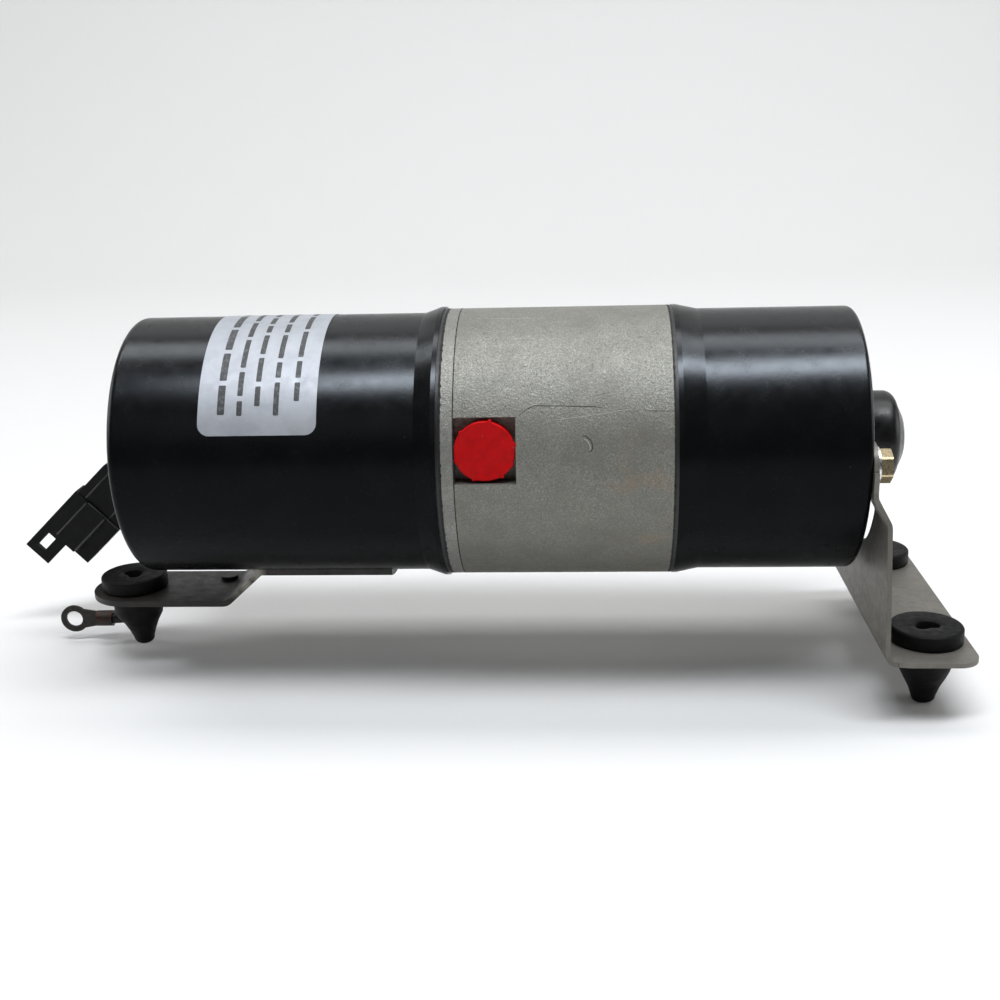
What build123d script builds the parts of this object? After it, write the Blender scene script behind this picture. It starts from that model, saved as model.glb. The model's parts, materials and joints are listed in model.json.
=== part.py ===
from build123d import *
import math
import os

os.makedirs("parts", exist_ok=True)

# A portable electro-hydraulic power unit: motor can, gear pump body and fluid reservoir on one
# axis, hung between a strap bracket and a U bracket on three rubber mounts.
#
# Millimetres. X runs along the unit's axis from motor to reservoir and is zero at the motor's
# flange; Z is up and zero on the axis. place() carries each solid to the row's frame, whose
# origin is under the middle of the unit, on the plane that the reservoir mounts' tips stand on.

# Driving dimensions
body_r = 44.45
can_r = 43.2
can_wall = 1.6
can_end_x = -104.6
can_lip_r = 45.1
can_corner_r = 2.6
plate_x = 4.3
body_end_x = 71.7
tank_r = 43.1
tank_lip_r = 44.6
tank_wall = 1.2
tank_corner_r = 1.8
tank_x = 72.9
tank_end_x = 131.0
gasket = 1.2
shaft_r = 4.0
tip_z = -78.1
bracket_top_z = -57.0
strap_top_z = -52.1
mount_x = 151.7
mount_y = 36.3
motor_mount_x = -116.1
strap_end_x = -130.2
base_end_x = 164.6
bolt_y = 35.5
through_bolt_z = 31.5
port_x, port_z = 13.9, 7.8
port_thread_r = 5.1

mid_x = (strap_end_x + base_end_x) / 2
CENTRED_MIN = (Align.CENTER, Align.CENTER, Align.MIN)


def place(shape):
    return Pos(-mid_x, 0, -tip_z) * shape


def save(node, *solids):
    """Write one node; several separate solids go in as a group."""
    placed = [place(s) for s in solids]
    shape = placed[0] if len(placed) == 1 else Compound(children=placed)
    export_step(shape, "parts/" + node + ".step")


def rod_x(radius, x0, x1, y=0, z=0):
    return Pos(x0, y, z) * Rot(0, 90, 0) * Cylinder(radius, x1 - x0, align=CENTRED_MIN)


def rod_y(radius, y0, y1, x=0, z=0):
    return Pos(x, y1, z) * Rot(90, 0, 0) * Cylinder(radius, y1 - y0, align=CENTRED_MIN)


def rod_z(radius, z0, z1, x=0, y=0):
    return Pos(x, y, z0) * Cylinder(radius, z1 - z0, align=CENTRED_MIN)


def tube_x(outer, inner, x0, x1, y=0, z=0):
    return rod_x(outer, x0, x1, y, z) - rod_x(inner, x0, x1, y, z)


def block(x0, x1, y0, y1, z0, z1):
    middle = Pos((x0 + x1) / 2, (y0 + y1) / 2, (z0 + z1) / 2)
    return middle * Box(x1 - x0, y1 - y0, z1 - z0)


def turned_x(*points):
    """Solid of revolution about X from (x, r) corners."""
    outline = Polyline(*[(x, 0, r) for x, r in points], close=True)
    return revolve(make_face(outline), Axis.X)


def turned_z(*points):
    """Solid of revolution about Z from (r, z) corners."""
    outline = Polyline(*[(r, 0, z) for r, z in points], close=True)
    return revolve(make_face(outline), Axis.Z)


def hex_head(across_flats, x0, x1, y=0, z=0, turn=0):
    outline = RegularPolygon(across_flats / 2, 6, major_radius=False, rotation=turn)
    return extrude(Plane.YZ.offset(x0) * Pos(y, z) * outline, x1 - x0)


def sector(inner, outer, half_angle, towards=0):
    """Flat ring sector in the YZ plane, centred on an angle from +Y."""
    far = 6 * outer
    left = math.radians(towards + half_angle)
    right = math.radians(towards - half_angle)
    wedge = make_face(Polyline((0, 0), (far * math.cos(right), far * math.sin(right)),
                               (far * math.cos(left), far * math.sin(left)), close=True))
    return (Circle(outer) - Circle(inner)) & wedge


def extruded_x(sketch, x0, x1):
    return extrude(Plane.YZ.offset(x0) * sketch, x1 - x0)


# Motor casing
rear_boss_r = 10.5
rear_boss_x = -109.6
rear_bush_r = 7.0
rear_bush_x0, rear_bush_x1 = -108.4, -99.8
grommet_y, grommet_z = 26.5, -9.7
lip_x = -gasket


def motor_can():
    shell = turned_x((can_end_x, 0), (can_end_x, can_r), (-8, can_r), (-2.6, can_lip_r),
                     (lip_x, can_lip_r), (lip_x, 0))
    end_edge = shell.edges().filter_by(GeomType.CIRCLE).sort_by(Axis.X)[0]
    shell = fillet(end_edge, can_corner_r)
    inside = turned_x((can_end_x + can_wall, 0), (can_end_x + can_wall, can_r - can_wall),
                      (-7.3, can_r - can_wall), (-2.2, can_lip_r - can_wall),
                      (lip_x, can_lip_r - can_wall), (lip_x, 0))
    shell += rod_x(rear_boss_r, rear_boss_x, can_end_x + 1)
    shell -= inside
    shell -= rod_x(rear_bush_r + 0.02, rear_bush_x0, can_end_x + 2)
    shell -= rod_x(6.1, can_end_x - 1, can_end_x + 2, grommet_y, grommet_z)
    for side in (-1, 1):
        shell -= rod_x(2.6, can_end_x - 1, can_end_x + 2, 0, side * through_bolt_z)
    return shell


# Label wrapped over the can; its two ends are in degrees up from the front
label_x0, label_x1 = -75.1, -37.9
label_from, label_to = 17.8, 128.0
label_thick = 0.15
label_corner_r = 3.6


def label():
    half = (label_to - label_from) / 2
    ring = sector(can_r, can_r + label_thick, half, 180 - label_from - half)
    foil = extruded_x(ring, label_x0, label_x1)
    corners = foil.edges().filter_by(lambda edge: edge.length < 2 * label_thick)
    return fillet(corners, label_corner_r)


def through_bolts():
    bolts = []
    for side in (-1, 1):
        z = side * through_bolt_z
        head = hex_head(8, can_end_x - 3.6, can_end_x, 0, z, 15)
        bolts.append(head + rod_x(2.4, can_end_x - 1, 17, 0, z))
    return bolts


def lead_grommet():
    collar = rod_x(7.6, can_end_x - 2, can_end_x, grommet_y, grommet_z)
    waist = rod_x(6.0, can_end_x - 1, can_end_x + 2.4, grommet_y, grommet_z)
    inner = rod_x(7.0, can_end_x + can_wall, can_end_x + 3, grommet_y, grommet_z)
    grommet = collar + waist + inner
    for z in lead_hole_z:
        grommet -= rod_x(lead_r, can_end_x - 3, can_end_x + 4, grommet_y, z)
    return grommet


# Field: a laminated ring with a pole on each side, and a coil on each pole
core_x0, core_x1 = -73.2, -34.0
yoke_inner_r = 34.5
armature_r = 21.0
air_gap = 0.6
pole_shoe = 3.6
pole_half_width = 11.0
pole_half_angle = 62


def field_core():
    shoe_r = armature_r + air_gap
    ring = Circle(can_r - can_wall - 0.05) - Circle(yoke_inner_r)
    for side in (-1, 1):
        neck = Pos(side * 30, 0) * Rectangle(12, 2 * pole_half_width)
        shoe = sector(shoe_r, shoe_r + pole_shoe, pole_half_angle, 90 - 90 * side)
        ring += neck + shoe
    ring -= Circle(shoe_r)
    return extruded_x(ring, core_x0, core_x1)


def field_coil(side):
    inner = block(core_x0 - 1, core_x1 + 1, 20, 40, -pole_half_width - 1, pole_half_width + 1)
    outer = block(core_x0 - 7.5, core_x1 + 7.5, 25.7, 36, -19, 19)
    outer = fillet(outer.edges().filter_by(Axis.Y), 7)
    coil = (outer - inner) & rod_x(yoke_inner_r - 0.3, core_x0 - 10, core_x1 + 10)
    return coil if side > 0 else mirror(coil, Plane.XZ)


# Armature
slot_count = 12
slot_pitch_r = 16.2
slot_r = 2.4
commutator_r = 11.0
commutator_x0, commutator_x1 = -98.6, -83.2
shaft_x0, shaft_x1 = -108.0, 55.7


def armature_shaft():
    shaft = rod_x(shaft_r, shaft_x0, shaft_x1)
    shaft = chamfer(shaft.edges().filter_by(GeomType.CIRCLE), 0.5)
    return shaft - rod_z(drive_pin_r, -6, 6, drive_pin_x)


def armature_core():
    disc = Circle(armature_r) - Circle(shaft_r + 0.02)
    for turn in range(slot_count):
        slot = Pos(slot_pitch_r, 0) * Circle(slot_r) + Pos(slot_pitch_r + 3, 0) * Rectangle(6, 1.6)
        disc -= Rot(0, 0, turn * 360 / slot_count) * slot
    return extruded_x(disc, core_x0, core_x1)


def armature_winding():
    turns = tube_x(19.2, 8, core_x0 - 9, core_x0 - 0.3) + tube_x(19.2, 8, core_x1 + 0.3, core_x1 + 9)
    turns = fillet(turns.edges().filter_by(GeomType.CIRCLE), 2.5)
    for turn in range(slot_count):
        angle = math.radians(turn * 360 / slot_count)
        turns += rod_x(slot_r - 0.15, core_x0 - 3, core_x1 + 3, slot_pitch_r * math.cos(angle),
                       slot_pitch_r * math.sin(angle))
    return turns


def commutator():
    ring = rod_x(commutator_r, commutator_x0, commutator_x1)
    ring += rod_x(commutator_r + 1.5, commutator_x1 - 2, commutator_x1)
    ring -= rod_x(6, commutator_x0, commutator_x1)
    slit = Pos(commutator_r + 1, 0) * Rectangle(4, 0.7)
    for turn in range(slot_count):
        angle = (turn + 0.5) * 360 / slot_count
        ring -= extruded_x(Rot(0, 0, angle) * slit, commutator_x0, commutator_x1)
    return ring


def commutator_sleeve():
    return tube_x(5.97, shaft_r + 0.02, commutator_x0 - 0.4, commutator_x1 + 0.5)


# Brush gear
brush_plate_x0, brush_plate_x1 = -95.8, -94.0
brush_x0, brush_x1 = -93.4, -85.4
brush_half_width = 4.0
brush_tip_y = 11.1
brush_back_y = 20.5
holder_back_y = 27.6


def brush_plate():
    plate = tube_x(can_r - can_wall - 0.1, commutator_r + 2, brush_plate_x0, brush_plate_x1)
    for side in (-1, 1):
        plate -= rod_x(2.6, brush_plate_x0, brush_plate_x1, 0, side * through_bolt_z)
    plate -= rod_x(8.5, brush_plate_x0, brush_plate_x1, grommet_y, grommet_z)
    return plate


def brush_holder(side):
    wall = 0.8
    gap = 0.1
    box = block(brush_plate_x1, brush_x1 + wall + gap, 12.6, holder_back_y,
                -brush_half_width - wall - gap, brush_half_width + wall + gap)
    box -= block(brush_plate_x1 + 0.5, brush_x1 + gap, 12, holder_back_y - wall,
                 -brush_half_width - gap, brush_half_width + gap)
    return box if side > 0 else mirror(box, Plane.XZ)


def brush(side):
    carbon = block(brush_x0, brush_x1, 8, brush_back_y, -brush_half_width, brush_half_width)
    carbon -= rod_x(brush_tip_y, brush_x0 - 1, brush_x1 + 1)
    return carbon if side > 0 else mirror(carbon, Plane.XZ)


def brush_spring(side):
    pitch = 1.5
    radius = 2.4
    y0, y1 = brush_back_y + 0.4, holder_back_y - 1.3
    coil = Helix(pitch=pitch, height=y1 - y0, radius=radius)
    wire = Plane(origin=coil @ 0, z_dir=coil % 0) * Circle(0.3)
    spring = Pos((brush_x0 + brush_x1) / 2, y0, 0) * Rot(-90, 0, 0) * sweep(wire, path=coil)
    return spring if side > 0 else mirror(spring, Plane.XZ)


# Bearings and the plate between motor and pump
front_bush_x0, front_bush_x1 = -11.0, -0.4
hub_r = 12.5
plate_spigot_r = 40.5


def bush(x0, x1):
    return tube_x(rear_bush_r, shaft_r + 0.04, x0, x1)


def thrust_washers():
    rear = tube_x(6.4, shaft_r + 0.1, rear_bush_x1 + 0.05, rear_bush_x1 + 0.65)
    front = tube_x(6.4, shaft_r + 0.1, front_bush_x0 - 1.2, front_bush_x0 - 0.6)
    return rear, front


def adapter_plate():
    plate = rod_x(body_r, 0, plate_x)
    plate += rod_x(plate_spigot_r, -3, 0.5) + rod_x(hub_r, front_bush_x0 - 0.5, 0.5)
    plate -= rod_x(rear_bush_r + 0.02, front_bush_x0 - 1, 0)
    plate -= rod_x(shaft_r + 0.4, -1, plate_x + 1)
    for side in (-1, 1):
        plate -= rod_x(2.6, -4, plate_x + 1, 0, side * through_bolt_z)
    return plate


def motor_gasket():
    return tube_x(body_r, plate_spigot_r + 0.3, lip_x, 0)


# Rotor pump: an inner rotor of six teeth drives an outer rotor of seven lobes
inner_teeth = 6
outer_lobes = inner_teeth + 1
eccentricity = 1.5
lobe_pitch_r = 13.5
lobe_r = 4.2
rotor_clearance = 0.05
outer_rotor_r = 17.5
rotor_x0, rotor_x1 = 46.0, 56.0
end_gap = 0.03
drive_pin_r = 1.5
drive_pin_x = 51.0


def inner_tooth_point(t):
    """Point of the inner rotor's outline: a trochoid set in by the lobe's radius."""
    n = outer_lobes
    y = lobe_pitch_r * math.cos(t) + eccentricity * math.cos(n * t)
    z = lobe_pitch_r * math.sin(t) + eccentricity * math.sin(n * t)
    dy = -lobe_pitch_r * math.sin(t) - n * eccentricity * math.sin(n * t)
    dz = lobe_pitch_r * math.cos(t) + n * eccentricity * math.cos(n * t)
    reach = (lobe_r + rotor_clearance) / math.hypot(dy, dz)
    return y - dz * reach, z + dy * reach


def inner_rotor():
    steps = inner_teeth * 14
    points = [inner_tooth_point(2 * math.pi * k / steps) for k in range(steps)]
    outline = make_face(Spline(*points, periodic=True))
    rotor = extruded_x(Rot(0, 0, 90) * outline, rotor_x0 + end_gap, rotor_x1 - end_gap)
    rotor -= rod_x(shaft_r + 0.02, rotor_x0, rotor_x1)
    return rotor - rod_z(drive_pin_r + 0.03, -6.2, 6.2, drive_pin_x)


def outer_rotor():
    ring = Circle(outer_rotor_r)
    cavity = Circle(lobe_pitch_r - 1.05)
    for lobe in range(outer_lobes):
        angle = math.radians(90 + lobe * 360 / outer_lobes)
        centre = Pos(lobe_pitch_r * math.cos(angle), lobe_pitch_r * math.sin(angle))
        cavity -= centre * Circle(lobe_r)
    rotor = extruded_x(ring - cavity, rotor_x0 + end_gap, rotor_x1 - end_gap)
    return Pos(0, 0, eccentricity) * rotor


def drive_pin():
    return rod_z(drive_pin_r, -6, 6, drive_pin_x)


# Pump body: a flange with the two ports, a rotor block, and a skirt that closes the reservoir
flange_x = 30.0
block_r = 27.0
skirt_inner_r = 38.5
spigot_end_x = 76.3
pocket_x0, pocket_x1 = plate_x, 23.5
pocket_z0, pocket_z1 = -2.2, 18.0
pocket_floor_y = 38.0
port_boss_y = 41.0
port_boss_r = 7.4
port_floor_y = 19.3
gallery_y = 21.5
gallery_r = 1.8
kidney_x = 41.0
piston_x, piston_z, piston_r = 38.2, -17.0, 3.5
piston_travel = 3.5
piston_half = 9.0
ball_r = 2.4
seat_x = 56.0
cover_x = 61.0
boss_end_x = 68.8


def pump_body():
    body = rod_x(body_r, plate_x, body_end_x) - rod_x(skirt_inner_r, flange_x, body_end_x)
    body += tube_x(tank_r - tank_wall - 0.15, skirt_inner_r, body_end_x - 1, spigot_end_x)
    body += rod_x(block_r, flange_x - 1, rotor_x1)
    for side in (-1, 1):
        rib = block(flange_x - 1, boss_end_x, side * bolt_y - 6.5, side * bolt_y + 6.5, -6, 6)
        body += rib & rod_x(skirt_inner_r + 1, flange_x - 2, boss_end_x + 1)
    body -= rod_x(outer_rotor_r + 0.05, rotor_x0, rotor_x1 + 1, 0, eccentricity)
    body -= rod_x(seal_r + 0.02, plate_x - 1, seal_x1 + 0.3)
    body -= rod_x(shaft_r + 0.3, plate_x, rotor_x1)
    for side in (-1, 1):
        body -= port_cuts(side)
        body -= rod_x(2.45, 54, boss_end_x + 1, side * bolt_y)
        body -= rod_x(2.45, plate_x - 1, 19, 0, side * through_bolt_z)
    body -= piston_cuts()
    for y, z in cover_screw_places():
        body -= rod_x(1.65, 48, rotor_x1 + 1, y, z)
    return body


def port_cuts(side):
    """Port pocket and thread, the gallery to the check valve, and the rotors' kidney slot."""
    y = side * gallery_y
    cuts = block(pocket_x0 - 1, pocket_x1, pocket_floor_y, 50, pocket_z0, pocket_z1)
    cuts -= rod_y(port_boss_r, pocket_floor_y - 1, port_boss_y, port_x, port_z)
    cuts += rod_y(port_thread_r, port_floor_y, port_boss_y + 1, port_x, port_z)
    cuts += rod_y(gallery_r - 0.2, 8.5, gallery_y + 0.5, 43.5, port_z)
    cuts = cuts if side > 0 else mirror(cuts, Plane.XZ)
    cuts += rod_x(gallery_r, port_x - 2, rotor_x1 + 1, y, port_z)
    cuts += rod_x(ball_r + 0.3, 50, rotor_x1 + 1, y, port_z)
    cuts += extruded_x(sector(8.2, 12.2, 48, 90 - 90 * side), kidney_x, rotor_x0 + 1)
    return cuts


def piston_cuts():
    """Bore of the control piston, its two signal drillings and its return to the reservoir."""
    cuts = rod_y(piston_r + 0.03, -block_r, block_r, piston_x, piston_z)
    for side in (-1, 1):
        cuts += rod_z(1.1, piston_z, -4, kidney_x + 0.9, side * 10.9)
    return cuts + rod_z(1.5, -block_r - 1, piston_z, piston_x, 0)


def control_piston():
    piston = rod_y(piston_r, -piston_half, piston_half, piston_x, piston_z)
    for y in (-4.5, 4.5):
        groove = rod_y(piston_r + 1, y - 1, y + 1, piston_x, piston_z)
        piston -= groove - rod_y(piston_r - 1, y - 1, y + 1, piston_x, piston_z)
    return piston


def piston_plugs():
    near = piston_half + piston_travel + 0.1
    return [rod_y(piston_r, min(s * near, s * 17), max(s * near, s * 17), piston_x, piston_z)
            for s in (-1, 1)]


def check_ball(side):
    return Pos(seat_x - 2.05, side * gallery_y, port_z) * Sphere(ball_r)


def cover_screw_places():
    return [(y, z) for y in (-9, 9) for z in (-19.5, 19.5)]


def rotor_cover():
    cover = rod_x(block_r - 0.5, rotor_x1, cover_x)
    cover = chamfer(cover.faces().sort_by(Axis.X)[-1].edges(), 0.6)
    for side in (-1, 1):
        cover -= rod_x(1.3, rotor_x1, cover_x, side * gallery_y, port_z)
    for y, z in cover_screw_places():
        cover -= rod_x(1.8, rotor_x1, cover_x, y, z)
    return cover


def cover_screws():
    screws = []
    for y, z in cover_screw_places():
        head = rod_x(3, cover_x, cover_x + 2.6, y, z)
        recess = hex_head(2.5, cover_x + 1, cover_x + 3, y, z)
        screws.append(head + rod_x(1.6, 49, cover_x + 0.5, y, z) - recess)
    return screws


def inlet_filters():
    return [tube_x(3.4, 2.8, cover_x, cover_x + 4, s * gallery_y, port_z)
            + rod_x(3.4, cover_x + 4, cover_x + 4.6, s * gallery_y, port_z) for s in (-1, 1)]


# Shaft seal
seal_x0, seal_x1 = plate_x + 0.2, 11.0
seal_r = 9.0


def shaft_seal():
    ring = tube_x(seal_r, shaft_r + 1.6, seal_x0, seal_x1)
    lip = turned_x((seal_x1 - 4, shaft_r + 0.05), (seal_x1 - 3.2, shaft_r + 0.05),
                   (seal_x1 - 1, shaft_r + 1.8), (seal_x1 - 3.5, shaft_r + 1.8))
    return ring + lip


# Reservoir
filler_r = 12.0
plug_r = 15.5
plug_x = 146.2
plug_tip = 2.8


def reservoir_gasket():
    return tube_x(body_r, tank_r - tank_wall + 0.05, body_end_x, tank_x)


def reservoir():
    shell = turned_x((tank_x, 0), (tank_x, tank_lip_r), (tank_x + 1.5, tank_lip_r),
                     (tank_x + 8.5, tank_r), (tank_end_x, tank_r), (tank_end_x, 0))
    shell = fillet(shell.edges().filter_by(GeomType.CIRCLE).sort_by(Axis.X)[-1], tank_corner_r)
    inside = rod_x(tank_r - tank_wall, tank_x - 1, tank_end_x - tank_wall)
    inside = fillet(inside.edges().filter_by(GeomType.CIRCLE).sort_by(Axis.X)[-1], 0.8)
    shell -= inside
    shell -= rod_x(filler_r, tank_end_x - 3, tank_end_x + 1)
    for side in (-1, 1):
        shell -= rod_x(2.7, tank_end_x - 3, tank_end_x + 1, side * bolt_y)
    return shell


def filler_plug():
    head = turned_x((tank_end_x + 0.02, 0), (tank_end_x + 0.02, plug_r), (plug_x - 4.2, plug_r),
                    (plug_x, plug_r - 4.6), (plug_x + 1.4, 7.6), (plug_x + plug_tip - 0.4, 5.6),
                    (plug_x + plug_tip, 0))
    corner = head.edges().filter_by(GeomType.CIRCLE).filter_by_position(Axis.X, plug_x - 5, plug_x + 1)
    head = fillet(corner, 1.8)
    return head + tube_x(filler_r - 0.08, filler_r - 1.6, tank_end_x - 5, tank_end_x + 1)


# Reservoir bracket and its bolts
sheet = 1.5
ear_r = 7.5
upright_x = 135.3
leg_top_y, leg_foot_y = 44.0, 54.5
arch_r = 29.5
arch_z = -6.0
base_y = 55.0
washer_x = tank_end_x + sheet
washer_end_x = washer_x + 1.0
head_end_x = washer_end_x + 3.8


def bent_sheet(points, radii, thickness, half_width):
    """Sheet bent along a line in the XZ plane, given by the middle of its thickness."""
    line = FilletPolyline(*[(x, z) for x, z in points], radius=radii)
    strip = trace(line, line_width=thickness)
    return extrude(Plane.XZ * strip, half_width, both=True)


def front_outline():
    """The bracket seen along X: two ears and two spread legs with an arch between them."""
    foot_z = bracket_top_z - sheet - 1
    right = Polyline((0, foot_z), (leg_foot_y, foot_z), (leg_top_y, arch_z), (leg_top_y, 0),
                     (bolt_y - ear_r, 0), (bolt_y - ear_r, arch_z), (0, arch_z), close=True)
    half = make_face(right) + Pos(bolt_y, 0) * Circle(ear_r)
    whole = half + mirror(half, Plane.YZ)
    return whole - Pos(0, arch_z) * Circle(arch_r)


def reservoir_bracket():
    half = sheet / 2
    line = [(tank_end_x + half, ear_r + 2), (tank_end_x + half, -8.0), (upright_x + half, -16.0),
            (upright_x + half, bracket_top_z - half), (base_end_x, bracket_top_z - half)]
    bent = bent_sheet(line, [3, 4, 2.5], sheet, 70)
    upright = bent & extruded_x(front_outline(), tank_end_x - 2, upright_x + sheet + 2.6)
    plan = make_face(Polyline((upright_x + 4, -leg_foot_y), (upright_x + 8, -base_y),
                              (base_end_x, -base_y), (base_end_x, base_y),
                              (upright_x + 8, base_y), (upright_x + 4, leg_foot_y), close=True))
    plan = fillet(plan.vertices().sort_by(Axis.X)[-2:], 7)
    base = extrude(Pos(0, 0, bracket_top_z - sheet) * plan, sheet)
    bracket = upright + base
    for side in (-1, 1):
        bracket -= rod_x(2.8, tank_end_x - 1, tank_end_x + 3, side * bolt_y)
        bracket -= rod_z(mount_waist_r, bracket_top_z - 5, bracket_top_z + 1, mount_x, side * mount_y)
    return bracket


def washers():
    return [tube_x(6, 2.8, washer_x, washer_end_x, side * bolt_y) for side in (-1, 1)]


def reservoir_bolts():
    bolts = []
    for side in (-1, 1):
        head = hex_head(9.5, washer_end_x, head_end_x, side * bolt_y, 0, 19.4)
        head &= rod_x(5.3, washer_end_x, head_end_x, side * bolt_y)
        bolts.append(head + rod_x(2.4, 55, washer_end_x + 1, side * bolt_y))
    return bolts


# Motor bracket: a strap that hugs the can's underside and steps down to one mount
strap = 2.0
strap_half = 15.0
strap_x1 = -21.0
ramp_x0, ramp_x1 = -79.2, -65.4
rivet_x, rivet_y = -84.0, 8.0
rivet_r = 1.6
under_strap_z, over_strap_z = -60, -50


def motor_bracket():
    low_z = strap_top_z - strap / 2
    line = [(strap_end_x, low_z), (ramp_x0, low_z), (ramp_x1, -can_r + 2.5)]
    low = bent_sheet(line, [4], strap, strap_half)
    tip = rod_z(strap_half, strap_top_z - 3, strap_top_z + 1, strap_end_x + strap_half)
    low -= block(strap_end_x - 1, strap_end_x + strap_half, -20, 20, under_strap_z, over_strap_z) - tip
    saddle = tube_x(can_r + strap, can_r, ramp_x1 - 3, strap_x1)
    saddle &= block(ramp_x1 - 3, strap_x1, -strap_half, strap_half, under_strap_z, -20)
    bracket = low + saddle - rod_x(can_r, -90, 0)
    bracket -= rod_z(mount_waist_r, under_strap_z, over_strap_z, motor_mount_x)
    return bracket - rod_z(rivet_r + 0.05, under_strap_z, over_strap_z, rivet_x, rivet_y)


# Rubber mounts
mount_height = 26.2
mount_disc_r = 11.4
mount_disc = 5.1
mount_waist_r = 6.4
mount_neck_r = 8.4
mount_neck = 7.6
mount_tip_r = 3.4
mount_hole_r = 3.3


def rubber_mount(x, y, gripped_top, gripped):
    top = gripped_top + mount_disc
    under = gripped_top - gripped
    tip = top - mount_height
    rubber = turned_z((mount_hole_r, top), (mount_disc_r, top), (mount_disc_r, gripped_top),
                      (mount_waist_r, gripped_top), (mount_waist_r, under), (mount_neck_r, under),
                      (mount_neck_r, under - mount_neck), (mount_tip_r + 0.4, tip + 1.6),
                      (mount_tip_r - 1, tip), (0, tip), (0, tip + 9), (mount_hole_r, tip + 11))
    rubber = fillet(rubber.edges().group_by(Axis.Z)[-1].sort_by(SortBy.RADIUS)[-1], 0.8)
    return Pos(x, y, 0) * rubber


# Port caps: soft caps pushed over the two ports' bosses for transport
cap_r = 9.45
cap_wall = 1.7
cap_y0, cap_y1 = port_boss_y + 0.2, 43.4


def port_cap(side):
    skirt_y = pocket_floor_y + 0.4
    cap = rod_y(cap_r, cap_y0, cap_y1, port_x, port_z)
    cap += rod_y(port_boss_r + cap_wall, skirt_y, cap_y0 + 0.5, port_x, port_z)
    cap -= rod_y(port_boss_r + 0.1, skirt_y - 1, cap_y0, port_x, port_z)
    return cap if side > 0 else mirror(cap, Plane.XZ)


# Two-way connector on the power leads. Its own frame: x from the latch tab's tip towards the
# wires, y across its width, z away from its latch face.
connector_y = 25.0
connector_tip = (-166.5, connector_y, -45.1)
connector_tilt = 43.5
connector_dir = (math.cos(math.radians(connector_tilt)), 0, math.sin(math.radians(connector_tilt)))
connector_frame = Plane(origin=connector_tip, x_dir=connector_dir, z_dir=(0, 1, 0))
housing_x0, housing_step, housing_x1 = 11.3, 30.2, 47.5
housing_w, housing_t = 21.3, 9.0
cell_y = (5.6, 15.4)
lead_r = 1.6
lead_end_x = 38.0
lead_depth = 5.2


def local(x, y, z):
    return connector_frame.from_local_coords(Vector(x, y, z))


def connector_housing():
    front = block(housing_x0, housing_step, 0, housing_w, 1, housing_t)
    front += block(housing_x0, housing_step, 5.9, 14.8, 0, 2)
    rear = block(housing_step - 1, housing_x1, 1, housing_w - 0.4, 1.4, housing_t - 0.4)
    rear = fillet(rear.edges().filter_by(Axis.Z).sort_by(Axis.X)[-2:], 2.5)
    tab = block(0, housing_x0 + 1, 0, 10.8, 1, 3) - block(3, 9.9, 3.2, 6.6, 0, 4)
    housing = front + rear + tab
    for y in cell_y:
        housing -= block(housing_x0 - 1, lead_end_x, y - 3.4, y + 3.4, 2.6, housing_t - 1.2)
        housing -= rod_x(lead_r, lead_end_x - 1, housing_x1 + 1, y, lead_depth)
    return connector_frame * housing


def connector_terminals():
    terminals = []
    for y in cell_y:
        blade = block(17, 32, y - 2.6, y + 2.6, lead_depth - 0.5, lead_depth + 0.5)
        barrel = rod_x(2.1, lead_end_x - 7, lead_end_x, y, lead_depth)
        terminals.append(connector_frame * (blade + barrel))
    return terminals


# Cords, as lists of points chosen by hand, one per turn
lead_hole_z = (-6.6, -12.8)
upper_lead = [(-103.5, 26.5, -6.6), (-108.4, 26.5, -6.6), (-114.2, 27.4, -7.5),
              (-119.9, 28.9, -10.3)]
lower_lead = [(-103.5, 26.5, -12.8), (-107.8, 26.5, -12.8), (-112.1, 27.4, -14.0),
              (-115.7, 28.8, -16.9)]
earth_lead_r = 2.0
earth_tab_end = (-94.2, rivet_y, -56.9)
earth_route = [(-100.6, 8.0, -56.9), (-107.2, 9.8, -59.0), (-113.2, 11.7, -62.8),
               (-119.3, 12.4, -66.9)]
eye_turn = 2
eye_centre = (-145.0, 11.4, -69.3)
eye_hole_r = 3.0
eye_barrel_x = 8.5
eye_barrel_end = 14.5
earth_straight = 5.5


def lead_route(points, cell):
    """A power lead ends square on its terminal, straight through the housing's back."""
    back = local(housing_x1 + 4, cell, lead_depth)
    return [Vector(*p) for p in points] + [back, local(lead_end_x, cell, lead_depth)]


def earth_lead_route():
    """From the riveted tag to the eye, square into the eye's barrel."""
    points = [Vector(*p) for p in [earth_tab_end] + earth_route]
    return points + [eye_point(eye_barrel_end + earth_straight), eye_point(eye_barrel_end)]


def eye_point(x):
    """Point on the earth eye's own axis, x from the middle of its hole."""
    turn = math.radians(eye_turn)
    return Vector(*eye_centre) + Vector(x * math.cos(turn), x * math.sin(turn), 0)


def cord(name, points, radius):
    """Straight runs joined by arcs as large as the runs beside each corner allow."""
    radii = []
    for a, b, c in zip(points, points[1:], points[2:]):
        turn = math.radians((b - a).get_angle(c - b))
        radii.append(0.45 * min((b - a).length, (c - b).length) / math.tan(turn / 2))
    line = FilletPolyline(*points, radius=radii)
    section = Plane(origin=line @ 0, z_dir=line % 0) * Circle(radius)
    tube = sweep(section, path=line)
    print(name, "length", round(line.length, 1), "radii", [round(r, 1) for r in radii],
          "volume error", round(tube.volume / (math.pi * radius**2 * line.length) - 1, 5))
    return tube


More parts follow.
